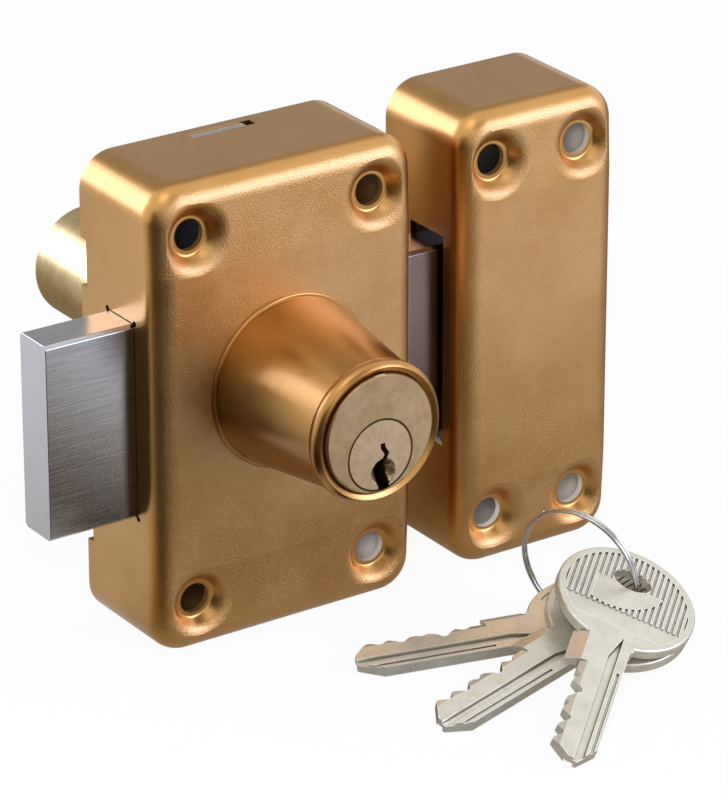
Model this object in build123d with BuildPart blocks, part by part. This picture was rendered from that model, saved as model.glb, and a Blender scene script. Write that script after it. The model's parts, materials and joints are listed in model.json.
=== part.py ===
# Keyed rim deadbolt: case, through bolt, two pin cylinders, box keeper and three keys.
# Millimetres. +X runs from the case to the keeper, the front faces -Y, +Z is up.
# The origin is the plug axis where it meets the mounting plane at the back of the case.
from math import asin, atan2, cos, degrees, hypot, pi, radians, sin, sqrt, tan
import os

from build123d import *

os.makedirs("parts", exist_ok=True)

# Case and keeper: pressed steel shells
case_width = 58.5
case_height = 94.5
case_depth = 26.2
sheet = 1.5
corner_radius = 7.0
edge_radius = 4.8
band_half = 30.1            # half height of the flat middle of the front
zone_tilt = 2.6             # the front above and below it leans back by this angle
crease_radius = 10.0
inner_crease_radius = 100.0
keeper_width = 36.8
keeper_gap = 10.4           # free space between case and keeper
plate = 1.8                 # thickness of both backplates
plate_gap = 0.2             # backplate edge to shell wall
overcut = 1.0               # how far a cut starts outside what it cuts

# Mounting screw holes, each in a soft dish
case_holes_x = 40.0
keeper_holes_x = 20.2
holes_z = 74.0
hole_radius = 3.1
dish_radius = 7.8
dish_flat = 3.5             # flat round the hole
dish_slope = 51.0
dish_rim_round = 3.4
dish_foot_round = 0.9
cup_margin = 1.0            # the dish's back is this much wider
cup_bury = 0.2

# Tabs that lock the backplate into the shell
tab_width = 11.8
tab_left = -6.6
tab_slot_width = 13.9
tab_front = 4.2
tab_back = 2.3
tab_clearance = 0.2
tab_height = 4.0
pry_notch_low = 21.5
pry_notch_high = 31.0
pry_notch_depth = 2.0

# Bolt
bolt_height = 39.4
bolt_thickness = 9.2
bolt_front = 18.5           # depth of the bolt's front face in front of the mounting plane
bolt_reach = 19.0           # how far the bolt stands out at the left in the drawn position
keeper_entry = 5.6          # bolt inside the keeper in the drawn position
bolt_bevel = 0.7
slot_clearance = 0.15
slot_relief = 0.6
keeper_slot_half = 21.9
keeper_slot_front = 19.5
keeper_slot_back = 8.5

# Rack and pinion
throw = 35.0
key_turns = 2
pinion_teeth = 8
tooth_backlash = 0.34
tooth_angle = 20.0
mesh_clearance = 0.25
pinion_side_gap = 0.2
journal_radius = 2.0
running_gap = 0.05

# Chassis behind the bolt
rail_length = 42.0
rail_thickness = 4.5
rail_ledge = 4.5
rail_gap = 0.2
bridge_width = 24.0
bridge_thickness = 1.5
bridge_corner = 3.0
bridge_gap = 0.8            # bridge to bolt, filled by the leaf spring
leaf_thickness = 0.3
leaf_length = 20.0
leaf_height = 4.0
leaf_level = 11.0
rivet_radius = 1.5
rivet_length = 6.0
rivet_x = 16.0
screw_clearance = 0.05
bridge_screw_x = 8.0
bridge_screw_radius = 1.3
bridge_screw_length = 5.0
bridge_head_radius = 2.3
bridge_head = 1.2

# Pin cylinders
plug_radius = 7.0
plug_gap = 0.07
inner_radius = 11.75
inner_offset = 4.2          # barrel axis above the plug axis
outer_radius = 11.5
outer_offset = 3.7
outer_length = 48.0         # barrel behind the mounting plane
face_chamfer = 0.35
flange_radius = 17.0
flange_thickness = 1.5
pin_pitch = 4.2
first_pin = 4.2             # from the face
pin_radius = 1.4
pin_gap = 0.05
driver_length = 3.8
spring_bore = 0.84
key_cuts = (1.0, 2.2, 0.6, 1.8, 1.4)  # depth of the key's cuts, one for each pin
shear_gap = 0.15
cover_thickness = 0.9
cover_margin = 3.0
clip_thickness = 0.6
clip_outer = 7.45
clip_groove = 6.3
clip_opening = 5.0
clip_gap = 0.05
plug_tail = 0.5             # plug behind the clip
keyway_top = 2.2
keyway_top_left = 0.05
keyway_top_right = 1.0
keyway_foot_left = -0.5
keyway_foot_right = 1.9
keyway_right_side = ((1.25, 1.2), (2.0, 0.1), (1.5, -0.9), (1.3, -1.8), (keyway_foot_right, -3.4))
keyway_left_side = ((keyway_foot_left, -3.2), (-0.1, -1.7), (0.4, -0.9), (0.95, -0.1), (0.1, 1.2))
keyway_end_gap = 1.0        # keyway past the tip of a key
funnel_radius = 2.8
funnel_x = 0.7
funnel_z = -3.6
funnel_depth = 1.6

# Pinion shaft and tailbar
dog_width = 3.4
dog_thickness = 1.6
dog_engagement = 1.2
dog_gap = 0.1
cup_radius = 6.0
cup_bore = 4.1
cup_wall_front = 0.8
bush_wall = 0.85
bush_lip = 1.9
tailbar_width = 7.0
tailbar_thickness = 1.6
tailbar_hole = 4.4
tailbar_socket = 2.5
barrel_screw_x = 6.5
barrel_screw_z = 8.5
barrel_screw_radius = 2.0
barrel_screw_length = 12.0
barrel_head_radius = 3.5
barrel_head = 2.2

# Conical boss round the inner cylinder
boss_length = 29.8
boss_base_radius = 17.5
boss_flange = 0.8
boss_foot_radius = 16.8
boss_neck_radius = 13.3
boss_lip_radius = 13.95
boss_lip_length = 3.4
boss_bore_gap = 0.25
boss_wall = 1.5
boss_lug_circle = 13.9
boss_lug_radius = 1.85
boss_lug_length = 7.0
boss_screw_radius = 1.15
boss_screw_length = 9.5
boss_head_radius = 2.1
boss_head = 1.3
face_proud = 0.2            # cylinder face in front of the boss lip
boss_lip_crown = 1.53       # widest point of the lip, behind its front
boss_lip_land = 0.5

# Key, along its own x from the middle of its hole to the tip
key_thickness = 2.3
key_length = 53.4
key_stop = 26.8             # shoulder that meets the cylinder face
bow_offset = 5.5            # middle of the bow
bow_radius = 13.8
bow_rim = 1.5
bow_edge = 0.5
bow_recess = 0.35
recess_end = 14.3
key_hole_length = 5.6
key_hole_width = 7.6
panel_side = 6.7
panel_start = 1.8
panel_end = 8.6
panel_arc_back = 1.1        # crown of the panel's arc, short of its end
panel_arc_side = 2.2333333
rib_width = 0.6
rib_pitch = 1.17
ribs_end = 9.6
neck_left = 4.4
neck_right = 5.4
neck_length = 19.5
blade_left = 3.8
blade_right = 4.6           # the side with the cuts
tip_flat = 1.0
tip_left_slope = 4.6
tip_right_slope = 3.2
cut_flat = 0.9
cut_flank = 0.9             # half width gained for each millimetre of depth
wing_start = 18.5
wing_reach = 2.8
wing_edge = 0.6
groove_depth = 0.75
groove_width = 1.8
groove_place = 0.1
groove_start = 16.5
groove_runout = 6.5
line_place = 2.6
line_width = 0.6
line_depth = 0.35
back_groove_place = -1.4
blade_bevel = 1.4
blade_bevel_depth = 0.6

# Key ring, standing on its edge, with the keys leaning from it to the surface below
ring_radius = 12.7
ring_wire_radius = 0.38
ring_turn_offset = 0.33
ring_left = 13.45           # middle of the ring, left of the keeper's middle
ring_ahead = 32.2           # and in front of the keeper
ring_heading = -69.7        # direction of the ring's plane
ring_lean = -9.4
rest_gap = 0.1
hole_along = -0.9           # middle of a key's hole from the ring's wire
# Each key: angle round the ring, heading of its tip, roll about its length, sideways place of its hole
front_key = (-6.0, -138.6, -22.0, -1.4)
middle_key = (-26.5, -169.2, -17.2, 0.2)
back_key = (-46.8, 162.0, -10.8, -0.5)

# Values worked out from the sizes above
left_wall = -case_width / 2
right_wall = case_width / 2
keeper_left = right_wall + keeper_gap
keeper_x = keeper_left + keeper_width / 2
front_wall_inside = -case_depth + sheet
bolt_left = left_wall - bolt_reach
bolt_back = -bolt_front + bolt_thickness
bolt_length = bolt_reach + case_width + keeper_gap + keeper_entry
throw_out = bolt_reach
throw_in = throw - throw_out
pitch_radius = throw / (key_turns * 2 * pi)
tooth_pitch = 2 * pi * pitch_radius / pinion_teeth
addendum = 0.8 * tooth_pitch / pi
dedendum = addendum + mesh_clearance
bridge_back = -bolt_front - bridge_gap
rail_inner = bolt_height / 2 + rail_gap
rail_middle = rail_inner + rail_thickness / 2
face_y = -case_depth - boss_length - face_proud
inner_end = front_wall_inside + flange_thickness
plug_end = inner_end + clip_gap + clip_thickness + plug_tail
pin_count = len(key_cuts)
floor = -case_height / 2


def facing(y, x=0.0, z=0.0):
    """Plane that faces the front: local x is +X and local y is +Z."""
    return Plane(origin=(x, y, z), x_dir=(1, 0, 0), z_dir=(0, -1, 0))


def axis_at(x, z):
    return Axis((x, 0, z), (0, 1, 0))


def save(part, name):
    part.label = name
    export_step(part, f"parts/{name}.step")


def pressed_form(x, width, inset):
    """Outer form of a shell, or its hollow when inset by the sheet thickness."""
    depth = case_depth - inset
    zone = case_height / 2 + overcut - band_half
    back = zone * tan(radians(zone_tilt))
    with BuildPart() as form:
        with BuildSketch(facing(0, x)):
            Rectangle(width - 2 * inset, case_height - 2 * inset)
        extrude(amount=depth)
        fillet(form.edges().filter_by(Axis.Y), corner_radius - inset)
        with BuildSketch(Plane.YZ.offset(x)) as side:
            with BuildLine():
                front = Polyline((back - depth, -band_half - zone), (-depth, -band_half),
                                 (-depth, band_half), (back - depth, band_half + zone))
                Polyline(front @ 1, (depth, band_half + zone), (depth, -band_half - zone), front @ 0)
            make_face()
            creases = [corner for corner in side.vertices() if abs(corner.Y) < band_half + overcut and corner.X < 0]
            fillet(creases, inner_crease_radius if inset else crease_radius)
        extrude(amount=width, both=True, mode=Mode.INTERSECT)
        rim = [edge for edge in form.edges()
               if edge.center().Y < back - depth
               and (abs(edge.center().X - x) > width / 4 or abs(edge.center().Z) > (case_height / 2 + band_half) / 2)]
        fillet(rim, edge_radius - inset)
    return form.part


def dish_form(x, z, margin, shift):
    """Dish round a hole, square to the leaning front, down to the flat round the hole."""
    lean = radians(zone_tilt) * (1 if z > 0 else -1)
    surface = (abs(z) - band_half) * tan(radians(zone_tilt)) - case_depth
    upright = Plane(origin=(x, surface, z), x_dir=(1, 0, 0), z_dir=(0, sin(lean), cos(lean)))
    slope = radians(dish_slope)
    rim, flat = dish_radius + margin, dish_flat + margin
    top = (rim - dish_rim_round * sin(slope), shift + dish_rim_round * (1 - cos(slope)))
    foot_x = flat + dish_foot_round * sin(slope)
    foot = (foot_x, top[1] + (top[0] - foot_x) * tan(slope))
    bottom = foot[1] + dish_foot_round * (1 - cos(slope))
    with BuildPart() as dish:
        with BuildSketch(upright):
            with BuildLine():
                TangentArc((rim, shift), top, tangent=(-1, 0))
                wall = Line(top, foot)
                TangentArc(foot, (flat, bottom), tangent=wall % 1)
                Polyline((flat, bottom), (0, bottom), (0, -dish_rim_round), (rim, -dish_rim_round), (rim, shift))
            make_face()
        revolve(axis=Axis(upright.origin, upright.y_dir))
    return dish.part


def pressed_shell(x, width, holes_x):
    """Shell with its four dished screw holes, open at the back."""
    places = [(x + sx * holes_x / 2, sz * holes_z / 2) for sx in (-1, 1) for sz in (-1, 1)]
    with BuildPart() as hollow:
        add(pressed_form(x, width, sheet))
        for hx, hz in places:
            add(dish_form(hx, hz, cup_margin, sheet - cup_bury), mode=Mode.SUBTRACT)
    with BuildPart() as shell:
        add(pressed_form(x, width, 0))
        for hx, hz in places:
            add(dish_form(hx, hz, 0, 0), mode=Mode.SUBTRACT)
        add(hollow.part, mode=Mode.SUBTRACT)
        with BuildSketch(facing(0)) as screw_holes:
            with Locations(*places):
                Circle(hole_radius)
        extrude(screw_holes.sketch, amount=case_depth, mode=Mode.SUBTRACT)
    return shell.part


# Case cover: slots for the bolt, the backplate tabs and the cylinder
with BuildPart() as case_cover:
    add(pressed_shell(0, case_width, case_holes_x))
    with BuildSketch(Plane.YZ):
        with Locations((bolt_back - bolt_thickness / 2, 0)):
            slot = Rectangle(bolt_thickness + 2 * slot_clearance, bolt_height + 2 * slot_clearance)
        with Locations(*slot.vertices()):
            Circle(slot_relief)
    extrude(amount=case_width, both=True, mode=Mode.SUBTRACT)
    with BuildSketch(Plane.XY):
        with Locations((0, -(tab_front + tab_back) / 2)):
            Rectangle(tab_slot_width, tab_front - tab_back + 2 * tab_clearance)
    extrude(amount=case_height, both=True, mode=Mode.SUBTRACT)
    with BuildSketch(Plane.YZ.offset(left_wall)):
        notch_middle = (pry_notch_low + pry_notch_high) / 2
        with Locations((0, notch_middle), (0, -notch_middle)):
            Rectangle(2 * pry_notch_depth, pry_notch_high - pry_notch_low)
    extrude(amount=sheet, mode=Mode.SUBTRACT)
    with BuildSketch(facing(front_wall_inside + overcut, 0, inner_offset)):
        Circle(inner_radius + boss_bore_gap)
        with PolarLocations(boss_lug_circle, 3, start_angle=90):
            Circle(boss_screw_radius + screw_clearance)
    extrude(amount=sheet + 2 * overcut, mode=Mode.SUBTRACT)
save(case_cover.part, "case_cover")

# Case backplate with a bent tab at the top and the bottom
with BuildPart() as case_backplate:
    with BuildSketch(facing(0)):
        RectangleRounded(case_width - 2 * (sheet + plate_gap), case_height - 2 * (sheet + plate_gap),
                         corner_radius - sheet - plate_gap)
        with GridLocations(case_holes_x, holes_z, 2, 2):
            Circle(hole_radius, mode=Mode.SUBTRACT)
        Circle(cup_radius + running_gap + bush_wall + screw_clearance, mode=Mode.SUBTRACT)
        with GridLocations(2 * rivet_x, 2 * rail_middle, 2, 2):
            Circle(rivet_radius + screw_clearance, mode=Mode.SUBTRACT)
        with Locations((-barrel_screw_x, barrel_screw_z), (barrel_screw_x, barrel_screw_z)):
            Circle(barrel_screw_radius + screw_clearance, mode=Mode.SUBTRACT)
    extrude(amount=plate)
    tab_top = case_height / 2 - tab_clearance
    with BuildSketch(Plane.YZ.offset(tab_left)):
        for side in (1, -1):
            with BuildLine():
                Polyline(
                    (-plate, side * (tab_top - tab_height)), (-tab_front, side * (tab_top - tab_height)),
                    (-tab_front, side * tab_top), (-tab_back, side * tab_top),
                    (-tab_back, side * (case_height / 2 - sheet - plate_gap)),
                    (-plate, side * (case_height / 2 - sheet - plate_gap)), close=True,
                )
            make_face()
    extrude(amount=tab_width)
save(case_backplate.part, "case_backplate")

# Bolt: a bevelled bar with a window whose lower edge is the rack
rack_left = -throw_out - pitch_radius - addendum - mesh_clearance
rack_right = throw_in + pitch_radius + addendum + mesh_clearance
window_top = pitch_radius + addendum + mesh_clearance
window_bottom = -pitch_radius - dedendum


def rack_tooth():
    """One rack tooth on its pitch point, pointing up."""
    half_pitch = (tooth_pitch / 2 - tooth_backlash) / 2
    lean = sin(radians(tooth_angle))
    foot, tip = half_pitch + dedendum * lean, half_pitch - addendum * lean
    with BuildSketch() as tooth:
        with BuildLine():
            Polyline((-foot, -dedendum), (foot, -dedendum), (tip, addendum), (-tip, addendum), close=True)
        make_face()
    return tooth.sketch


with BuildPart() as bolt:
    with BuildSketch(Plane.YZ.offset(bolt_left)):
        with Locations((bolt_back - bolt_thickness / 2, 0)):
            bar = Rectangle(bolt_thickness, bolt_height)
        chamfer(bar.vertices(), bolt_bevel)
    extrude(amount=bolt_length)
    with BuildSketch(facing(bolt_back)):
        with Locations(((rack_left + rack_right) / 2, (window_top + window_bottom) / 2)):
            Rectangle(rack_right - rack_left, window_top - window_bottom)
    extrude(amount=bolt_thickness, mode=Mode.SUBTRACT)
    first_tooth = int(rack_left / tooth_pitch) - 0.5
    tooth_places = [
        ((first_tooth + i) * tooth_pitch, -pitch_radius)
        for i in range(int((rack_right - rack_left) / tooth_pitch) + 2)
        if rack_left + tooth_pitch / 2 < (first_tooth + i) * tooth_pitch < rack_right - tooth_pitch / 2
    ]
    with BuildSketch(facing(bolt_back)):
        with Locations(*tooth_places):
            add(rack_tooth())
    extrude(amount=bolt_thickness)
save(bolt.part, "bolt")

# Guide rails above and below the bolt, riveted to the backplate
for name, side in (("bolt_guide_upper", 1), ("bolt_guide_lower", -1)):
    with BuildPart() as rail:
        with BuildSketch(Plane.YZ.offset(-rail_length / 2)):
            with BuildLine():
                ledge_edge = side * (rail_inner - rail_ledge)
                outer_edge = side * (rail_inner + rail_thickness)
                Polyline(
                    (-plate, ledge_edge), (-plate, outer_edge), (bridge_back, outer_edge),
                    (bridge_back, side * rail_inner), (bolt_back + rail_gap, side * rail_inner),
                    (bolt_back + rail_gap, ledge_edge), close=True,
                )
            make_face()
        extrude(amount=rail_length)
        with BuildSketch(facing(-plate, 0, side * rail_middle)):
            with Locations((-rivet_x, 0), (rivet_x, 0)):
                Circle(rivet_radius + screw_clearance)
        extrude(amount=rivet_length - plate + screw_clearance, mode=Mode.SUBTRACT)
        with BuildSketch(facing(bridge_back, 0, side * rail_middle)):
            with Locations((-bridge_screw_x, 0), (bridge_screw_x, 0)):
                Circle(bridge_screw_radius + screw_clearance)
        extrude(amount=-bridge_screw_length - screw_clearance, mode=Mode.SUBTRACT)
    save(rail.part, name)

with BuildPart() as guide_rivets:
    with BuildSketch(facing(0)):
        with GridLocations(2 * rivet_x, 2 * rail_middle, 2, 2):
            Circle(rivet_radius)
    extrude(amount=rivet_length)
save(guide_rivets.part, "guide_rivets")

# Bridge across the rails that carries the front end of the pinion
with BuildPart() as bearing_bridge:
    with BuildSketch(facing(bridge_back)):
        RectangleRounded(bridge_width, 2 * (rail_inner + rail_thickness), bridge_corner)
        Circle(journal_radius + running_gap, mode=Mode.SUBTRACT)
        with GridLocations(2 * bridge_screw_x, 2 * rail_middle, 2, 2):
            Circle(bridge_screw_radius + screw_clearance, mode=Mode.SUBTRACT)
    extrude(amount=bridge_thickness)
save(bearing_bridge.part, "bearing_bridge")

with BuildPart() as bridge_screws:
    with BuildSketch(facing(bridge_back + bridge_screw_length)):
        with GridLocations(2 * bridge_screw_x, 2 * rail_middle, 2, 2):
            Circle(bridge_screw_radius)
    extrude(amount=bridge_screw_length + bridge_thickness)
    with BuildSketch(facing(bridge_back - bridge_thickness)):
        with GridLocations(2 * bridge_screw_x, 2 * rail_middle, 2, 2):
            Circle(bridge_head_radius)
            Rectangle(2 * bridge_head_radius, bridge_screw_radius / 2, mode=Mode.SUBTRACT)
    extrude(amount=bridge_head)
save(bridge_screws.part, "bridge_screws")

# Leaf spring that steadies the bolt against the bridge
with BuildPart() as bolt_leaf_spring:
    with BuildSketch(Plane.XY.offset(leaf_level)):
        ends = bridge_back + running_gap
        crown = -bolt_front - running_gap
        with BuildLine():
            back = ThreePointArc((-leaf_length / 2, ends + leaf_thickness), (0, crown),
                                 (leaf_length / 2, ends + leaf_thickness))
            front = ThreePointArc((-leaf_length / 2, ends), (0, crown - leaf_thickness),
                                  (leaf_length / 2, ends))
            Line(back @ 0, front @ 0)
            Line(back @ 1, front @ 1)
        make_face()
    extrude(amount=leaf_height)
save(bolt_leaf_spring.part, "bolt_leaf_spring")

# Pinion with its front journal and dog, and the cup at its back for the tailbar
teeth_front = -bolt_front + pinion_side_gap
teeth_back = bolt_back - pinion_side_gap
cup_front = bolt_back + pinion_side_gap


def pinion_tooth():
    """One pinion tooth that points down from the axis."""
    half_pitch = (tooth_pitch / 2 - tooth_backlash) / 2
    root = pitch_radius - dedendum
    with BuildSketch() as tooth:
        with BuildLine():
            Polyline((-half_pitch, -root / 2), (-half_pitch, -pitch_radius),
                     (-half_pitch / 2, -pitch_radius - addendum),
                     (half_pitch / 2, -pitch_radius - addendum), (half_pitch, -pitch_radius),
                     (half_pitch, -root / 2), close=True)
        make_face()
    return tooth.sketch


with BuildPart() as drive_pinion:
    with BuildSketch(facing(teeth_back)):
        Circle(pitch_radius - dedendum)
        with PolarLocations(0, pinion_teeth):
            add(pinion_tooth())
    extrude(amount=teeth_back - teeth_front)
    with BuildSketch(facing(teeth_front)):
        Circle(journal_radius)
    extrude(amount=teeth_front - bridge_back + bridge_thickness)
    with BuildSketch(facing(bridge_back - bridge_thickness)):
        Rectangle(dog_thickness, dog_width)
    extrude(amount=bridge_back - bridge_thickness - plug_end + dog_engagement)
    with BuildSketch(facing(cup_front)):
        Circle(pitch_radius - dedendum)
    extrude(amount=cup_front - teeth_back)
    with BuildSketch(facing(-bush_lip - running_gap)):
        Circle(cup_radius)
    extrude(amount=-bush_lip - running_gap - cup_front)
    with BuildSketch(facing(-bush_lip - running_gap)):
        Circle(cup_bore)
    extrude(amount=-bush_lip - running_gap - cup_front - cup_wall_front, mode=Mode.SUBTRACT)
save(drive_pinion.part, "drive_pinion")


# The two pin cylinders: the inner one faces the room, the outer one the street side.
# A depth is measured from the face inwards.
class Cylinder:
    def __init__(self, name, face, inward, length, radius, offset):
        self.name, self.face, self.inward = name, face, inward
        self.length, self.radius, self.offset = length, radius, offset

    def plane(self, depth, x=0.0, z=0.0):
        """Plane at a depth that faces outwards, with local y along +Z."""
        return Plane(origin=(x, self.face + self.inward * depth, z), x_dir=(self.inward, 0, 0),
                     z_dir=(0, -self.inward, 0))

    def pin_planes(self, z):
        """Planes at a height z, one for each pin."""
        spots = [self.face + self.inward * (first_pin + i * pin_pitch) for i in range(pin_count)]
        return [Plane((0, y, z)) for y in spots]

    @property
    def top(self):
        return self.offset + self.radius


inner = Cylinder("inner", face_y, 1, inner_end - face_y, inner_radius, inner_offset)
outer = Cylinder("outer", outer_length, -1, outer_length, outer_radius, outer_offset)
outer_recess = 2 * clip_gap + clip_thickness + plug_tail

for cylinder in (inner, outer):
    bore_length = cylinder.length if cylinder is inner else cylinder.length - outer_recess
    cover_bottom = cylinder.top - cover_thickness
    cover_length = (pin_count - 1) * pin_pitch + 2 * cover_margin
    cover_middle = cylinder.face + cylinder.inward * (first_pin + (pin_count - 1) * pin_pitch / 2)
    driver_bottom = plug_radius + plug_gap + shear_gap
    spring_bottom = driver_bottom + driver_length
    key_pin_top = sqrt(plug_radius ** 2 - pin_radius ** 2) - pin_gap
    chamber_bottom = keyway_top - max(key_cuts) - 2 * pin_gap

    # Barrel with the plug bore, the pin chambers and the slot for the spring cover
    with BuildPart() as barrel:
        with BuildSketch(cylinder.plane(0, 0, cylinder.offset)):
            Circle(cylinder.radius)
        extrude(amount=-cylinder.length)
        chamfer(barrel.faces().sort_by(Axis.Y)[0 if cylinder is inner else -1].edges(), face_chamfer)
        with BuildSketch(cylinder.plane(0)):
            Circle(plug_radius + plug_gap)
        extrude(amount=-cylinder.length, mode=Mode.SUBTRACT)
        for plane in cylinder.pin_planes(plug_radius - overcut):
            with BuildSketch(plane) as chamber:
                Circle(pin_radius + pin_gap)
            extrude(chamber.sketch, amount=cover_bottom - plug_radius + overcut, mode=Mode.SUBTRACT)
        with BuildSketch(Plane((0, cover_middle, cover_bottom))):
            Rectangle(2 * pin_radius, cover_length)
        extrude(amount=cover_thickness, mode=Mode.SUBTRACT)
        if cylinder is inner:
            with BuildSketch(facing(inner_end, 0, inner_offset)):
                Circle(flange_radius)
                with Locations((0, -inner_offset)):
                    Circle(plug_radius + plug_gap, mode=Mode.SUBTRACT)
                with PolarLocations(boss_lug_circle, 3, start_angle=90):
                    Circle(boss_screw_radius + screw_clearance, mode=Mode.SUBTRACT)
            extrude(amount=flange_thickness)
        else:
            with BuildSketch(facing(0)):
                Circle(clip_outer + clip_gap)
            extrude(amount=-outer_recess, mode=Mode.SUBTRACT)
            with BuildSketch(facing(0)):
                with Locations((-barrel_screw_x, barrel_screw_z), (barrel_screw_x, barrel_screw_z)):
                    Circle(barrel_screw_radius + screw_clearance)
            extrude(amount=-barrel_screw_length, mode=Mode.SUBTRACT)
    save(barrel.part, f"{cylinder.name}_barrel")

    # Cover strip over the pin chambers, its top flush with the barrel
    with BuildPart() as spring_cover:
        with BuildSketch(Plane((0, cover_middle, cover_bottom))):
            Rectangle(2 * (pin_radius - pin_gap / 2), cover_length - pin_gap)
        extrude(amount=2 * cover_thickness)
        with BuildSketch(cylinder.plane(0, 0, cylinder.offset)):
            Circle(cylinder.radius)
        extrude(amount=-cylinder.length, mode=Mode.INTERSECT)
    save(spring_cover.part, f"{cylinder.name}_spring_cover")

    # Plug with the keyway, its funnel, the pin chambers, the clip groove and the drive slot
    plug_length = bore_length + clip_gap + clip_thickness + plug_tail
    with BuildPart() as plug:
        with BuildSketch(cylinder.plane(0)):
            Circle(plug_radius)
        extrude(amount=-plug_length)
        with BuildSketch(cylinder.plane(0)):
            with BuildLine():
                Polyline(
                    (keyway_top_left, keyway_top), (keyway_top_right, keyway_top), *keyway_right_side,
                    (keyway_foot_right, -plug_radius - overcut), (keyway_foot_left, -plug_radius - overcut),
                    *keyway_left_side, close=True,
                )
            make_face()
        extrude(amount=-(key_length - key_stop + keyway_end_gap), mode=Mode.SUBTRACT)
        with Locations(cylinder.plane(funnel_depth / 2, cylinder.inward * funnel_x, funnel_z)):
            Cone(funnel_radius - funnel_depth, funnel_radius, funnel_depth, mode=Mode.SUBTRACT)
        for plane in cylinder.pin_planes(chamber_bottom):
            with BuildSketch(plane) as chamber:
                Circle(pin_radius + pin_gap)
            extrude(chamber.sketch, amount=plug_radius - chamber_bottom, mode=Mode.SUBTRACT)
        with BuildSketch(cylinder.plane(bore_length + clip_gap)):
            Circle(plug_radius)
            Circle(clip_groove, mode=Mode.SUBTRACT)
        extrude(amount=-clip_thickness, mode=Mode.SUBTRACT)
        if cylinder is inner:
            with BuildSketch(cylinder.plane(plug_length)):
                Rectangle(dog_thickness + 2 * dog_gap, dog_width + 2 * dog_gap)
            extrude(amount=dog_engagement + dog_gap, mode=Mode.SUBTRACT)
        else:
            with BuildSketch(cylinder.plane(plug_length)):
                Rectangle(tailbar_thickness, tailbar_width)
            extrude(amount=tailbar_socket, mode=Mode.SUBTRACT)
    save(plug.part, f"{cylinder.name}_plug")

    # Open clip that keeps the plug from coming out at the face
    with BuildPart() as clip:
        with BuildSketch(cylinder.plane(bore_length + clip_gap + clip_gap / 2)):
            Circle(clip_outer)
            Circle(clip_groove + clip_gap, mode=Mode.SUBTRACT)
            with Locations((0, -clip_outer)):
                Rectangle(clip_opening, 2 * (clip_outer - clip_groove + 1), mode=Mode.SUBTRACT)
        extrude(amount=-clip_thickness + clip_gap)
    save(clip.part, f"{cylinder.name}_plug_clip")

    # Key pins at the shear line, driver pins above them, spring sleeves on top
    with BuildPart() as key_pins:
        for plane, cut in zip(cylinder.pin_planes(key_pin_top), key_cuts):
            with BuildSketch(plane) as pin:
                Circle(pin_radius)
            extrude(pin.sketch, amount=keyway_top - cut - key_pin_top)
        chamfer(key_pins.edges().filter_by(lambda e: e.center().Z < keyway_top), pin_radius / 2)
    save(key_pins.part, f"{cylinder.name}_key_pins")

    with BuildPart() as driver_pins:
        for plane in cylinder.pin_planes(driver_bottom):
            with BuildSketch(plane) as pin:
                Circle(pin_radius)
            extrude(pin.sketch, amount=driver_length)
    save(driver_pins.part, f"{cylinder.name}_driver_pins")

    with BuildPart() as pin_springs:
        for plane in cylinder.pin_planes(spring_bottom):
            with BuildSketch(plane) as sleeve:
                Circle(pin_radius)
                Circle(spring_bore, mode=Mode.SUBTRACT)
            extrude(sleeve.sketch, amount=cover_bottom - spring_bottom)
    save(pin_springs.part, f"{cylinder.name}_pin_springs")

# Bush in the backplate that carries the back end of the pinion
with BuildPart() as pinion_bush:
    with BuildSketch(facing(0)):
        Circle(cup_radius + running_gap + bush_wall)
        Circle(tailbar_hole, mode=Mode.SUBTRACT)
    extrude(amount=bush_lip)
    with BuildSketch(facing(-bush_lip)):
        Circle(cup_radius + running_gap + bush_wall)
        Circle(cup_radius + running_gap, mode=Mode.SUBTRACT)
    extrude(amount=-bush_lip - cup_front)
save(pinion_bush.part, "pinion_bush")

# Tailbar from the outer plug into the pinion's cup
with BuildPart() as tailbar:
    tailbar_front = cup_front + cup_wall_front + 2 * dog_gap
    tailbar_back = outer_recess - clip_gap - clip_thickness - plug_tail + tailbar_socket
    with BuildSketch(facing(tailbar_back)):
        Rectangle(tailbar_thickness, tailbar_width)
    extrude(amount=tailbar_back - tailbar_front)
save(tailbar.part, "tailbar")

# Two screws that pull the outer barrel against the backplate
with BuildPart() as outer_barrel_screws:
    spots = ((-barrel_screw_x, barrel_screw_z), (barrel_screw_x, barrel_screw_z))
    with BuildSketch(facing(barrel_screw_length - 2 * screw_clearance)):
        with Locations(*spots):
            Circle(barrel_screw_radius)
    extrude(amount=barrel_screw_length - 2 * screw_clearance + plate)
    with BuildSketch(facing(-plate)):
        with Locations(*spots):
            Circle(barrel_head_radius)
            Rectangle(2 * barrel_head_radius, barrel_screw_radius / 2, mode=Mode.SUBTRACT)
    extrude(amount=barrel_head)
save(outer_barrel_screws.part, "outer_barrel_screws")

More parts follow.
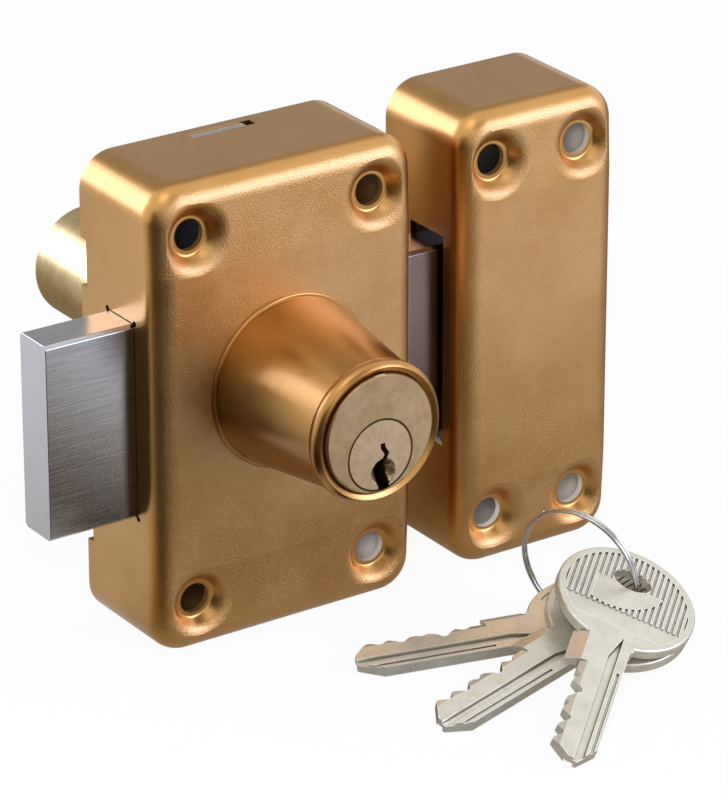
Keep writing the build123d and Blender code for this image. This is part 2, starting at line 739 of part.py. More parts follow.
# Boss: a cone with a flat foot and a rounded lip, and three screw lugs inside
boss_front = -case_depth - boss_length
lip_back = boss_front + boss_lip_length
boss_bore = inner_radius + boss_bore_gap
with BuildPart() as boss_cover:
    with BuildSketch(Plane.XY.offset(inner_offset)):
        with BuildLine():
            Polyline((boss_foot_radius - boss_wall, -case_depth), (boss_base_radius, -case_depth),
                     (boss_base_radius, -case_depth - boss_flange),
                     (boss_foot_radius, -case_depth - boss_flange), (boss_neck_radius, lip_back))
            lip = ThreePointArc((boss_neck_radius, lip_back),
                                (boss_lip_radius, boss_front + boss_lip_crown),
                                ((boss_bore + boss_lip_radius) / 2, boss_front))
            Polyline(lip @ 1, (boss_bore, boss_front + boss_lip_land), (boss_bore, lip_back),
                     (boss_foot_radius - boss_wall, -case_depth))
        make_face()
    revolve(axis=axis_at(0, inner_offset))
    fillet(boss_cover.edges().filter_by(GeomType.CIRCLE).group_by(Axis.Y)[-2].sort_by(SortBy.RADIUS)[-1],
           boss_flange / 2)
    with BuildSketch(facing(-case_depth, 0, inner_offset)):
        with PolarLocations(boss_lug_circle, 3, start_angle=90):
            Circle(boss_lug_radius)
    extrude(amount=boss_lug_length)
    with BuildSketch(facing(-case_depth, 0, inner_offset)):
        with PolarLocations(boss_lug_circle, 3, start_angle=90):
            Circle(boss_screw_radius + screw_clearance)
    extrude(amount=boss_lug_length, mode=Mode.SUBTRACT)
save(boss_cover.part, "boss_cover")

with BuildPart() as boss_screws:
    with BuildSketch(facing(inner_end, 0, inner_offset)):
        with PolarLocations(boss_lug_circle, 3, start_angle=90):
            Circle(boss_screw_radius)
    extrude(amount=boss_screw_length)
    with BuildSketch(facing(inner_end + boss_head, 0, inner_offset)):
        with PolarLocations(boss_lug_circle, 3, start_angle=90):
            Circle(boss_head_radius)
            Rectangle(2 * boss_head_radius, boss_screw_radius / 2, mode=Mode.SUBTRACT)
    extrude(amount=boss_head)
save(boss_screws.part, "boss_screws")

# Keeper cover with the mouth for the bolt in its left wall, and its backplate
with BuildPart() as keeper_cover:
    add(pressed_shell(keeper_x, keeper_width, keeper_holes_x))
    with BuildSketch(Plane.YZ.offset(keeper_left - overcut)):
        with Locations((-(keeper_slot_front + keeper_slot_back) / 2, 0)):
            Rectangle(keeper_slot_front - keeper_slot_back, 2 * keeper_slot_half)
    extrude(amount=sheet + 2 * overcut, mode=Mode.SUBTRACT)
save(keeper_cover.part, "keeper_cover")

with BuildPart() as keeper_backplate:
    with BuildSketch(facing(0, keeper_x)):
        RectangleRounded(keeper_width - 2 * (sheet + plate_gap), case_height - 2 * (sheet + plate_gap),
                         corner_radius - sheet - plate_gap)
        with GridLocations(keeper_holes_x, holes_z, 2, 2):
            Circle(hole_radius, mode=Mode.SUBTRACT)
    extrude(amount=plate)
save(keeper_backplate.part, "keeper_backplate")

# Split ring: two turns of wire side by side, closed to one solid
ring_normal = Vector(0, -1, 0).rotate(Axis.X, -ring_lean).rotate(Axis.Z, ring_heading)
ring_side = Vector(1, 0, 0).rotate(Axis.Z, ring_heading)
ring_up = ring_normal.cross(ring_side)
ring_low = ring_radius * ring_up.Z + ring_turn_offset * abs(ring_normal.Z) + ring_wire_radius
ring_middle = Vector(keeper_x - ring_left, -case_depth - ring_ahead, floor + ring_low)
ring_plane = Plane(origin=ring_middle, x_dir=ring_side, z_dir=ring_normal)
with BuildPart() as key_ring:
    with BuildSketch(Plane(origin=ring_middle, x_dir=ring_side, z_dir=-ring_up)):
        with Locations((ring_radius, -ring_turn_offset), (ring_radius, ring_turn_offset)):
            Circle(ring_wire_radius)
    revolve(axis=Axis(ring_middle, ring_normal))
save(key_ring.part, "key_ring")


def key_plane(ring_angle, heading, roll, hole_side):
    """Plane in the middle of a key, from its hole: x to the tip, which rests on the surface, z upwards."""
    turn = radians(ring_angle)
    wire = ring_plane.from_local_coords((ring_radius * cos(turn), ring_radius * sin(turn), 0))
    along = hole_along + key_length - tip_left_slope
    tilt = radians(abs(roll))
    across = blade_left * sin(tilt) + key_thickness / 2 * cos(tilt) - hole_side * sin(radians(roll))
    slope = degrees(asin((wire.Z - floor - rest_gap) / hypot(along, across)) - atan2(across, along))
    x, y, z = [Vector(*v).rotate(Axis.X, roll).rotate(Axis.Y, slope).rotate(Axis.Z, heading)
               for v in ((1, 0, 0), (0, 1, 0), (0, 0, 1))]
    return Plane(origin=wire + x * hole_along + y * hole_side, x_dir=x, z_dir=z)


def bow_field(plane):
    """The sunk field of a bow between its rim, the smooth panel round the hole and the ribs."""
    with BuildSketch(plane) as field:
        with Locations((bow_offset, 0)):
            Circle(bow_radius - bow_rim)
        with Locations((recess_end, 0)):
            Rectangle(bow_radius, 2 * bow_radius, align=(Align.MIN, Align.CENTER), mode=Mode.SUBTRACT)
        with Locations((ribs_end, 0)):
            with GridLocations(0.0, rib_pitch, 1, int(2 * bow_radius / rib_pitch)):
                Rectangle(2 * bow_radius, rib_width, align=(Align.MAX, Align.CENTER), mode=Mode.SUBTRACT)
        with BuildLine():
            edge = Polyline((panel_start, panel_side), (panel_start, -panel_side), (panel_end, -panel_side))
            ThreePointArc(edge @ 1, (panel_end - panel_arc_back, panel_arc_side), edge @ 0)
        make_face(mode=Mode.SUBTRACT)
    return field.sketch


# Keys: ribbed bow, neck, wing that meets the cylinder face, grooved blade with the cuts
for name, place in (("key_front", front_key), ("key_middle", middle_key), ("key_back", back_key)):
    middle = key_plane(*place)
    top = key_thickness / 2
    upper, lower = middle.offset(top), middle.offset(-top)

    def across_at(x):
        """Plane across the key: local x is the key's left, local y its upper side."""
        return Plane(origin=middle.from_local_coords((x, 0, 0)), x_dir=middle.y_dir, z_dir=middle.x_dir)

    with BuildPart() as key:
        with BuildSketch(lower):
            with Locations((bow_offset, 0)):
                Circle(bow_radius)
        extrude(amount=key_thickness)
        fillet(key.edges().filter_by(GeomType.CIRCLE), bow_edge)
        with BuildSketch(lower):
            with BuildLine():
                Polyline(
                    (bow_offset, neck_left), (neck_length, neck_left),
                    (neck_length + neck_left - blade_left, blade_left),
                    (key_length - tip_left_slope, blade_left), (key_length, tip_flat),
                    (key_length, -tip_flat), (key_length - tip_right_slope, -blade_right),
                    (wing_start, -blade_right),
                    (wing_start, -neck_right), (bow_offset, -neck_right), close=True,
                )
            make_face()
            for i, cut in enumerate(key_cuts):
                bottom = key_stop + first_pin + i * pin_pitch
                foot, mouth = cut_flat / 2, cut_flat / 2 + cut_flank * cut
                with BuildLine():
                    Polyline(
                        (bottom - mouth, -blade_right), (bottom - foot, cut - blade_right),
                        (bottom + foot, cut - blade_right), (bottom + mouth, -blade_right), close=True,
                    )
                make_face(mode=Mode.SUBTRACT)
        extrude(amount=key_thickness)
        with BuildSketch(across_at(wing_start)):
            with BuildLine():
                Polyline(
                    (-blade_right + wing_edge, -top), (-blade_right - wing_reach, -top),
                    (-blade_right - wing_reach, wing_edge - top), (-blade_right, top),
                    (-blade_right + wing_edge, top), close=True,
                )
            make_face()
        extrude(amount=key_stop - wing_start)
        with BuildSketch(across_at(key_stop)):
            with BuildLine():
                Polyline((blade_bevel - blade_right, top), (-blade_right - overcut, top),
                         (-blade_right - overcut, top - blade_bevel_depth * (1 + overcut / blade_bevel)),
                         close=True)
            make_face()
        extrude(amount=key_length - key_stop, mode=Mode.SUBTRACT)
        for plane, place_y, mirrored in ((upper, groove_place, 1), (lower, back_groove_place, -1)):
            with BuildSketch(plane) as groove:
                with BuildLine():
                    Polyline((groove_start, place_y + groove_width),
                             (groove_start + groove_runout, place_y), (key_length + overcut, place_y),
                             (key_length + overcut, place_y + groove_width), close=True)
                make_face()
            extrude(groove.sketch, amount=-mirrored * groove_depth, mode=Mode.SUBTRACT)
        with BuildSketch(upper):
            with Locations((key_stop, line_place)):
                Rectangle(key_length - key_stop, line_width, align=(Align.MIN, Align.MIN))
        extrude(amount=-line_depth, mode=Mode.SUBTRACT)
        with BuildSketch(lower):
            Ellipse(key_hole_length / 2, key_hole_width / 2)
        extrude(amount=key_thickness, mode=Mode.SUBTRACT)
        extrude(bow_field(upper), amount=-bow_recess, mode=Mode.SUBTRACT)
        extrude(bow_field(lower), amount=bow_recess, mode=Mode.SUBTRACT)
    save(key.part, name)
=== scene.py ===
import json
import math

import bmesh
import bpy
from mathutils import Matrix, Vector

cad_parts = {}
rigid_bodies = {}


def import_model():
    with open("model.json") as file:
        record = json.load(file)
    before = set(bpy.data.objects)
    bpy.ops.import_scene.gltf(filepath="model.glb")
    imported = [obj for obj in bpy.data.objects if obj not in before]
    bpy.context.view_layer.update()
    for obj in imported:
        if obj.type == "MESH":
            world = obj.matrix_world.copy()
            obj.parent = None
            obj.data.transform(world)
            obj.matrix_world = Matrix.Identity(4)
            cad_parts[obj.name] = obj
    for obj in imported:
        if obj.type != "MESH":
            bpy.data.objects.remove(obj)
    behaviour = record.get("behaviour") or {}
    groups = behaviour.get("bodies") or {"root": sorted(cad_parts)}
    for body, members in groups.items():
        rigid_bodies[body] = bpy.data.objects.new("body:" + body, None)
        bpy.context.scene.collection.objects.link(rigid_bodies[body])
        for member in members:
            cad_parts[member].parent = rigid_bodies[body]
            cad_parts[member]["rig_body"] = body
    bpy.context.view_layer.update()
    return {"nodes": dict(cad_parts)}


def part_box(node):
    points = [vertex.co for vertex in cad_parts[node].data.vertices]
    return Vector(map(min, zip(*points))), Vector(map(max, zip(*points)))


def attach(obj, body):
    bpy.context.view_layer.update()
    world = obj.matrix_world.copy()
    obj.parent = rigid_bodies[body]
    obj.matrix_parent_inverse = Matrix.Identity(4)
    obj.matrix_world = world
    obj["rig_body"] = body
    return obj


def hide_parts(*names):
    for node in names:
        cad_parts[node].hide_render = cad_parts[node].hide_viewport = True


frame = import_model()
nodes = frame["nodes"]
mm = 0.001  # the pieces are given in millimetres, the camera, the lamps and the floor in metres
floorLevel = -47.25 * mm
fullTurn = 2 * math.pi
quarterTurn = math.pi / 2
print("frame loaded:", len(nodes), "nodes")


class Val:  # an output socket that takes part in expressions
    def __init__(self, net, socket):
        self.net, self.socket = net, socket

    def __add__(self, other):
        return self.net.maths("ADD", self, other)

    def __sub__(self, other):
        return self.net.maths("SUBTRACT", self, other)

    def __mul__(self, other):
        return self.net.maths("MULTIPLY", self, other)

    def __truediv__(self, other):
        return self.net.maths("DIVIDE", self, other)

    def __pow__(self, other):
        return self.net.maths("POWER", self, other)

    def __radd__(self, other):
        return self.net.maths("ADD", other, self)

    def __rsub__(self, other):
        return self.net.maths("SUBTRACT", other, self)

    def __rmul__(self, other):
        return self.net.maths("MULTIPLY", other, self)

    def __rtruediv__(self, other):
        return self.net.maths("DIVIDE", other, self)


class Net:  # a node tree that is filled one node at a time
    def __init__(self, tree):
        self.tree = tree

    def put(self, socket, value):
        if isinstance(value, Val):
            self.tree.links.new(value.socket, socket)
        else:
            socket.default_value = value

    def add(self, kind, settings=None, values=None, output=0):
        node = self.tree.nodes.new(kind)
        for name, setting in (settings or {}).items():
            setattr(node, name, setting)
        for name, value in (values or {}).items():
            self.put(node.inputs[name], value)
        return Val(self, node.outputs[output]) if len(node.outputs) else None

    def maths(self, operation, *values):
        return self.add("ShaderNodeMath", {"operation": operation}, dict(enumerate(values)))

    def place(self):  # object coordinates in millimetres
        raw = self.add("ShaderNodeTexCoord", output="Object")
        return self.add("ShaderNodeVectorMath", {"operation": "SCALE"}, {0: raw, "Scale": 1 / mm})

    def split(self, vector):
        node = self.add("ShaderNodeSeparateXYZ", values={0: vector}).socket.node
        return [Val(self, socket) for socket in node.outputs]

    def join(self, x, y, z):
        return self.add("ShaderNodeCombineXYZ", values={0: x, 1: y, 2: z})

    def turned(self, vector, angles):
        return self.add("ShaderNodeVectorRotate", {"rotation_type": "EULER_XYZ"}, {
            "Vector": vector, "Rotation": [math.radians(angle) for angle in angles]})

    def noise(self, vector, scale, detail=3.0, roughness=0.6):
        return self.add("ShaderNodeTexNoise", values={
            "Vector": vector, "Scale": scale, "Detail": detail, "Roughness": roughness})

    def lines(self, vector, factors, detail=3.0, roughness=0.6):
        # noise drawn out into lines along the axis with the smallest factor
        drawn = self.add("ShaderNodeVectorMath", {"operation": "MULTIPLY"}, {0: vector, 1: factors})
        return self.noise(drawn, 1.0, detail, roughness)

    def ease(self, value, low, high, start=0.0, end=1.0):  # smooth step from start to end
        return self.add("ShaderNodeMapRange", {"interpolation_type": "SMOOTHSTEP"}, {
            "Value": value, "From Min": low, "From Max": high, "To Min": start, "To Max": end})

    def mix(self, factor, first, second):
        return self.add("ShaderNodeMix", {"data_type": "RGBA"}, {0: factor, 6: first, 7: second}, 2)

    def bump(self, height, depth):
        return self.add("ShaderNodeBump", values={"Distance": depth * mm, "Height": height})

    def mixShaders(self, factor, first, second):
        return self.add("ShaderNodeMixShader", values={0: factor, 1: first, 2: second})

    def seenBy(self, ray):  # 1 for the rays of this kind, which are Camera, Glossy or Transmission
        return self.add("ShaderNodeLightPath", output=f"Is {ray} Ray")

    def close(self, outputNode, shader):
        self.put(self.tree.nodes[outputNode].inputs["Surface"], shader)


def colour(red, green, blue):
    return (red, green, blue, 1.0)


def grey(level):
    return colour(level, level, level)


def netOf(owner):  # the tree of a material or of the world
    owner.use_nodes = True
    return Net(owner.node_tree)


def newMaterial(name, values, dress):
    material = bpy.data.materials.new(name)
    net = netOf(material)
    shader = net.tree.nodes["Principled BSDF"]
    for socket, value in values.items():
        shader.inputs[socket].default_value = value
    for socket, value in dress(net).items():
        net.put(shader.inputs[socket], value)
    return material


# metallic lacquer: orange peel on the fronts, smooth elsewhere, pale primer inside the shells with painted
# shade
bronze = {
    "smooth": colour(0.66, 0.35, 0.10), "smoothDeep": colour(0.59, 0.30, 0.075),
    "grained": colour(0.69, 0.405, 0.165), "grainedDeep": colour(0.60, 0.32, 0.11),
    # painted shade: the boss's lacquer is a darker copy of the shells' lacquer
    "boss": colour(0.56, 0.29, 0.08), "bossDeep": colour(0.48, 0.235, 0.055),
    "cloudScale": 0.09, "cloudShare": 0.65, "toneEdge": (0.3, 0.7),
    "fleckScale": 6.0, "fleckDetail": (1.0, 0.5), "fleckShare": 0.35,
    "roughness": 0.31, "cloudRoughness": 0.1, "frontRoughness": 0.02, "fleckRoughness": 0.08,
    "coat": 0.45, "coatRoughness": 0.22, "coatIor": 1.55,
    "grainScale": 4.2, "grainDetail": (2.0, 0.55), "grainDepth": 0.12, "grainEdge": (-23.2, -25.6),
    "softScale": 0.5, "softDetail": (2.0, 0.5), "softDepth": 0.02,
    "primer": colour(0.88, 0.79, 0.68), "primerDeep": colour(0.76, 0.67, 0.56), "primerRoughness": 0.6,
    "primerMetalLoss": 0.8, "insideShade": colour(0.16, 0.075, 0.02), "insideShadeHeading": (0.6, 0.4),
    "insideShadeEdge": (20.0, 32.0),
}


def lacquerTone(net, place):
    cloud = net.noise(place, bronze["cloudScale"])
    fleck = net.noise(place, bronze["fleckScale"], *bronze["fleckDetail"])
    tone = net.ease(cloud * bronze["cloudShare"] + fleck * bronze["fleckShare"], *bronze["toneEdge"])
    roughness = bronze["roughness"] + (cloud - 0.5) * bronze["cloudRoughness"]
    return cloud, fleck, tone, roughness


def shellDress(net):
    place = net.place()
    x, y, z = net.split(place)
    cloud, fleck, tone, roughness = lacquerTone(net, place)
    front = net.ease(y, *bronze["grainEdge"])
    smooth = net.mix(tone, bronze["smoothDeep"], bronze["smooth"])
    grained = net.mix(tone, bronze["grainedDeep"], bronze["grained"])
    peel = net.noise(place, bronze["grainScale"], *bronze["grainDetail"])
    soft = net.noise(place, bronze["softScale"], *bronze["softDetail"])
    lift = peel * front * bronze["grainDepth"] + soft * bronze["softDepth"]
    flecks = (fleck - 0.5) * bronze["fleckRoughness"] + bronze["frontRoughness"]
    roughness = roughness + flecks * front
    inside = net.add("ShaderNodeAttribute", {"attribute_name": "inside"}, output="Fac")
    outside = 1 - inside
    primer = net.mix(cloud, bronze["primerDeep"], bronze["primer"])
    right, down = bronze["insideShadeHeading"]
    unshadedInside = net.ease(x * right - z * down, *bronze["insideShadeEdge"])  # painted shade: darker inside away from the lower right
    primer = net.mix(unshadedInside, bronze["insideShade"], primer)
    return {
        "Base Color": net.mix(inside, net.mix(front, smooth, grained), primer),
        "Roughness": roughness * outside + inside * bronze["primerRoughness"],
        "Metallic": 1 - inside * bronze["primerMetalLoss"],
        "Coat Weight": outside * bronze["coat"],
        "Normal": net.bump(lift * outside, 1.0),
    }


# the boss's lacquer, darker than the shells' as painted shade
def bossDress(net):
    place = net.place()
    _, _, tone, roughness = lacquerTone(net, place)
    soft = net.noise(place, bronze["softScale"], *bronze["softDetail"])
    return {
        "Base Color": net.mix(tone, bronze["bossDeep"], bronze["boss"]),
        "Roughness": roughness,
        "Normal": net.bump(soft, bronze["softDepth"]),
    }


lacquerCoat = {
    "Metallic": 1.0, "Coat Weight": bronze["coat"], "Coat Roughness": bronze["coatRoughness"],
    "Coat IOR": bronze["coatIor"],
}
shellLacquer = newMaterial("bronzeLacquerShell", lacquerCoat, shellDress)
bossLacquer = newMaterial("bronzeLacquerBoss", lacquerCoat, bossDress)


# drawn, rolled or turned metal with fine lines in one direction
satin = {
    "smudgeScale": 0.12, "smudgeShare": 0.4, "lineShare": 0.6, "toneEdge": (0.3, 0.7), "lineRoughness": 0.18,
}
satinMetals = {
    "plateSteel": {
        "base": colour(0.62, 0.61, 0.58), "dark": colour(0.45, 0.44, 0.41), "roughness": 0.42,
        "lines": (0.5, 3.0, 3.0), "depth": 0.01, "wear": 0.25},
    "chassisSteel": {
        "base": colour(0.58, 0.57, 0.53), "dark": colour(0.42, 0.41, 0.38), "roughness": 0.38,
        "lines": (0.3, 4.0, 4.0), "depth": 0.01, "wear": 0.2},
    "pinionSteel": {
        "base": colour(0.46, 0.45, 0.44), "dark": colour(0.34, 0.33, 0.32), "roughness": 0.32,
        "lines": (3.0, 0.3, 3.0), "depth": 0.01, "wear": 0.12},
    "springSteel": {
        "base": colour(0.6, 0.6, 0.6), "dark": colour(0.45, 0.45, 0.45), "roughness": 0.25,
        "lines": (4.0, 4.0, 0.6), "depth": 0.004, "wear": 0.12},
    "screwSteel": {
        "base": colour(0.66, 0.65, 0.6), "dark": colour(0.5, 0.49, 0.45), "roughness": 0.3,
        "lines": (3.0, 0.5, 3.0), "depth": 0.008, "wear": 0.12},
    "ringSteel": {
        "base": colour(0.72, 0.71, 0.68), "dark": colour(0.55, 0.54, 0.51), "roughness": 0.22,
        "lines": (1.5, 1.5, 1.5), "depth": 0.006, "wear": 0.12},
    "pinBrass": {
        "base": colour(0.74, 0.55, 0.27), "dark": colour(0.58, 0.41, 0.18), "roughness": 0.28,
        "lines": (1.2, 1.2, 6.0), "depth": 0.008, "wear": 0.12},
    "outerBrass": {
        "base": colour(0.8, 0.62, 0.32), "dark": colour(0.62, 0.45, 0.2), "roughness": 0.28,
        "lines": (0.35, 5.0, 0.35), "depth": 0.015, "wear": 0.12},
}


def satinMetal(name, look):
    def dress(net):
        place = net.place()
        lines = net.lines(place, look["lines"])
        smudge = net.noise(place, satin["smudgeScale"])
        tone = net.ease(lines * satin["lineShare"] + smudge * satin["smudgeShare"], *satin["toneEdge"])
        roughness = look["roughness"] + (lines - 0.5) * satin["lineRoughness"]
        return {
            "Base Color": net.mix(tone, look["dark"], look["base"]),
            "Roughness": roughness + (smudge - 0.5) * look["wear"],
            "Normal": net.bump(lines, look["depth"]),
        }

    return newMaterial(name, {"Metallic": 1.0}, dress)


metal = {name: satinMetal(name, look) for name, look in satinMetals.items()}


# the bolt: brushed along its sides, slanted brushing on its end, with painted shade where it enters the
# keeper
boltLook = {
    "base": colour(0.62, 0.62, 0.64), "dark": colour(0.47, 0.47, 0.485), "end": colour(0.62, 0.59, 0.55),
    "sideLines": (0.09, 5.0, 5.0), "endLines": (1.0, 5.0, 0.12), "endSlant": (38, 0, 0),
    "lineDetail": (4.0, 0.65), "lineEdge": (0.32, 0.68), "lineDepth": 0.02,
    "endEdge": (-48.15, -48.23), "endShare": 0.7, "smudgeScale": 0.1,
    "roughness": 0.19, "lineRoughness": 0.16, "smudgeRoughness": 0.08,
    "keeperShade": colour(0.12, 0.05, 0.035), "keeperShadeEdge": (31.5, 34.5), "keeperShadeFray": 3.0, "keeperShadeShare": 0.85,
}


def boltDress(net):
    place = net.place()
    x, _, _ = net.split(place)
    sides = net.lines(place, boltLook["sideLines"], *boltLook["lineDetail"])
    ends = net.lines(net.turned(place, boltLook["endSlant"]), boltLook["endLines"], *boltLook["lineDetail"])
    atEnd = net.ease(x, *boltLook["endEdge"])
    lines = sides * (1 - atEnd) + ends * atEnd
    smudge = net.noise(place, boltLook["smudgeScale"])
    steel = net.mix(net.ease(lines, *boltLook["lineEdge"]), boltLook["dark"], boltLook["base"])
    # painted shade on the bolt between the case and the keeper
    inKeeperShade = net.ease(x + lines * boltLook["keeperShadeFray"], *boltLook["keeperShadeEdge"]) * boltLook["keeperShadeShare"]
    steel = net.mix(inKeeperShade, steel, boltLook["keeperShade"])
    roughness = boltLook["roughness"] + (lines - 0.5) * boltLook["lineRoughness"]
    return {
        "Base Color": net.mix(atEnd * boltLook["endShare"], steel, boltLook["end"]),
        "Roughness": roughness + (smudge - 0.5) * boltLook["smudgeRoughness"],
        "Normal": net.bump(lines, boltLook["lineDepth"]),
    }


boltSteel = newMaterial("boltSteel", {"Metallic": 1.0}, boltDress)


# brass faces turned about the Y axis through centre: fine rings, rays that fan out from the middle,
# and painted shade along the gap round the plug
turning = {
    "ringLines": (9.0, 0.4, 2.0), "rayLines": (0.15, 14.0, 0.2), "smudgeScale": 0.35,
    "lineEdge": (0.32, 0.68), "lineRoughness": 0.2, "depth": 0.012,
    "gapRadius": 7.0, "gapReach": (0.3, 0.12), "gapFray": 0.1, "plugGapShade": colour(0.06, 0.04, 0.02),
}
turnedBrass = {
    "innerBrass": {
        "base": colour(0.55, 0.395, 0.22), "dark": colour(0.42, 0.285, 0.14), "centre": (0.0, 4.2),
        "rings": 0.3, "rays": 0.0, "roughness": 0.4},
    "plugBrass": {
        "base": colour(0.62, 0.46, 0.29), "dark": colour(0.46, 0.32, 0.18), "centre": (0.0, 0.0),
        "rings": 0.2, "rays": 0.45, "roughness": 0.34},
    "outerPlugBrass": {
        "base": colour(0.7, 0.54, 0.29), "dark": colour(0.52, 0.38, 0.19), "centre": (0.0, 0.0),
        "rings": 0.2, "rays": 0.45, "roughness": 0.32},
}


def turnedFace(name, look):
    def dress(net):
        place = net.place()
        x, y, z = net.split(place)
        dx, dz = x - look["centre"][0], z - look["centre"][1]
        radius = (dx * dx + dz * dz) ** 0.5
        polar = net.join(radius, net.maths("ARCTAN2", dz, dx), y)
        rings = net.lines(polar, turning["ringLines"]) * look["rings"]
        rays = net.lines(polar, turning["rayLines"]) * look["rays"]
        smudge = net.noise(place, turning["smudgeScale"]) * (1 - look["rings"] - look["rays"])
        lines = rings + rays + smudge
        fromPlug = net.maths("ABSOLUTE", (x * x + z * z) ** 0.5 - turning["gapRadius"])
        # painted shade in the gap round the plug
        gap = net.ease(fromPlug + (lines - 0.5) * turning["gapFray"], *turning["gapReach"])
        brass = net.mix(net.ease(lines, *turning["lineEdge"]), look["dark"], look["base"])
        return {
            "Base Color": net.mix(gap, brass, turning["plugGapShade"]),
            "Roughness": look["roughness"] + (lines - 0.5) * turning["lineRoughness"],
            "Normal": net.bump(lines, turning["depth"]),
        }

    return newMaterial(name, {"Metallic": 1.0}, dress)


metal.update({name: turnedFace(name, look) for name, look in turnedBrass.items()})


# cast and tumbled nickel of the keys, with grime and painted shade in the grooves and between the ribs,
# painted shade in the ring holes, and edges lighter as wear and painted highlight
nickel = {
    "base": colour(0.73, 0.70, 0.59), "worn": colour(0.58, 0.55, 0.44), "metallic": 0.68, "roughness": 0.3,
    "castScale": 1.6, "castShare": 0.3, "scratchTurn": (0, 0, 28), "scratchLines": (0.25, 6.0, 3.0),
    "scratchShare": 0.25, "smudgeScale": 0.25, "smudgeShare": 0.45, "toneEdge": (0.3, 0.7),
    "grimeAndShade": colour(0.17, 0.13, 0.08), "grimeAndShadeReach": 0.5, "grimeAndShadeEdge": (0.4, 0.9), "grimeAndShadeFray": 0.25,
    "holeReach": 3.0, "holeShadeEdge": (0.3, 0.62), "samples": 8,
    "bright": colour(0.95, 0.94, 0.9), "edgeReach": 0.22, "brightEdge": (0.9, 0.6),
    "smudgeRoughness": 0.16, "grimeRoughness": 0.2, "scratchLift": 0.5, "castLift": 0.8, "depth": 0.015,
}


def nickelDress(net):
    def openness(reach, within=False):  # how much room a point has, outside or within the metal
        settings = {"samples": nickel["samples"], "only_local": True, "inside": within}
        return net.add("ShaderNodeAmbientOcclusion", settings, {"Distance": nickel[reach] * mm}, "AO")

    place = net.place()
    cast = net.noise(place, nickel["castScale"])
    scratch = net.lines(net.turned(place, nickel["scratchTurn"]), nickel["scratchLines"])
    smudge = net.noise(place, nickel["smudgeScale"])
    tone = cast * nickel["castShare"] + scratch * nickel["scratchShare"] + smudge * nickel["smudgeShare"]
    plain = net.mix(net.ease(tone, *nickel["toneEdge"]), nickel["worn"], nickel["base"])
    # grime and painted shade in the grooves and between the ribs
    clearOfGrimeAndShade = net.ease(openness("grimeAndShadeReach") + (cast - 0.5) * nickel["grimeAndShadeFray"], *nickel["grimeAndShadeEdge"])
    # painted shade inside the ring holes
    clearOfGrimeAndShade = clearOfGrimeAndShade * net.ease(openness("holeReach"), *nickel["holeShadeEdge"])
    # edges lighter: partly wear, partly painted highlight where rounded edges would catch the light
    wornAndLitEdges = net.ease(openness("edgeReach", True), *nickel["brightEdge"])
    roughness = nickel["roughness"] + (smudge - 0.5) * nickel["smudgeRoughness"]
    return {
        "Base Color": net.mix(clearOfGrimeAndShade, nickel["grimeAndShade"], net.mix(wornAndLitEdges, plain, nickel["bright"])),
        "Roughness": roughness + (1 - clearOfGrimeAndShade) * nickel["grimeRoughness"],
        "Normal": net.bump(scratch * nickel["scratchLift"] + cast * nickel["castLift"], nickel["depth"]),
    }


keyNickel = newMaterial("keyNickel", {"Metallic": nickel["metallic"]}, nickelDress)
print("finishes made:", len(bpy.data.materials))


def settledMesh(name, mesh, addModifiers):  # the mesh after its modifiers, which a passing object carries
    holder = bpy.data.objects.new(name + "Work", mesh)
    bpy.context.scene.collection.objects.link(holder)
    addModifiers(holder)
    graph = bpy.context.evaluated_depsgraph_get()
    settled = bpy.data.meshes.new_from_object(holder.evaluated_get(graph))
    holder.modifiers.clear()
    bpy.data.objects.remove(holder)
    settled.name = name
    return settled


def smoothBelow(mesh, sharp):  # smooth shading, but for edges sharper than this angle
    mesh.shade_smooth()
    mesh.set_sharp_from_angle(angle=math.radians(sharp))


def paint(mesh, material):
    mesh.materials.clear()
    mesh.materials.append(material)


def addPiece(name, mesh, body, replaced):
    obj = bpy.data.objects.new(name, mesh)
    bpy.context.scene.collection.objects.link(obj)
    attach(obj, body)
    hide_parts(replaced)
    return obj


# where a shell's faces carry the primer: its hidden side and the walls of its screw holes
shellMiddles = {"case_cover": 0.0, "keeper_cover": 58.05}
screwHoles = [(x, z) for x in (-20.0, 20.0, 47.95, 68.15) for z in (-37.0, 37.0)]
primerFaces = {"back": 0.3, "front": -0.2, "inwards": -0.3, "holeReach": 3.2, "holeSlope": 0.3, "rim": 0.3}


def markInside(mesh, middle):
    marks = mesh.attributes.new("inside", "FLOAT", "FACE")
    for face, mark in zip(mesh.polygons, marks.data):
        (x, y, z), facing = face.center, face.normal
        inwards = (x - middle) * facing.x + z * facing.z < primerFaces["inwards"] * abs(z)
        hidden = facing.y > primerFaces["back"] or (facing.y > primerFaces["front"] and inwards)
        toHole = min(math.hypot(x - holeX * mm, z - holeZ * mm) for holeX, holeZ in screwHoles)
        inHole = toHole < primerFaces["holeReach"] * mm and abs(facing.y) < primerFaces["holeSlope"]
        if (hidden or inHole) and y < -primerFaces["rim"] * mm:
            mark.value = 1.0


welded = {"join": 0.002, "flat": 0.4, "sharp": 33.0, "bevelSegments": 2}


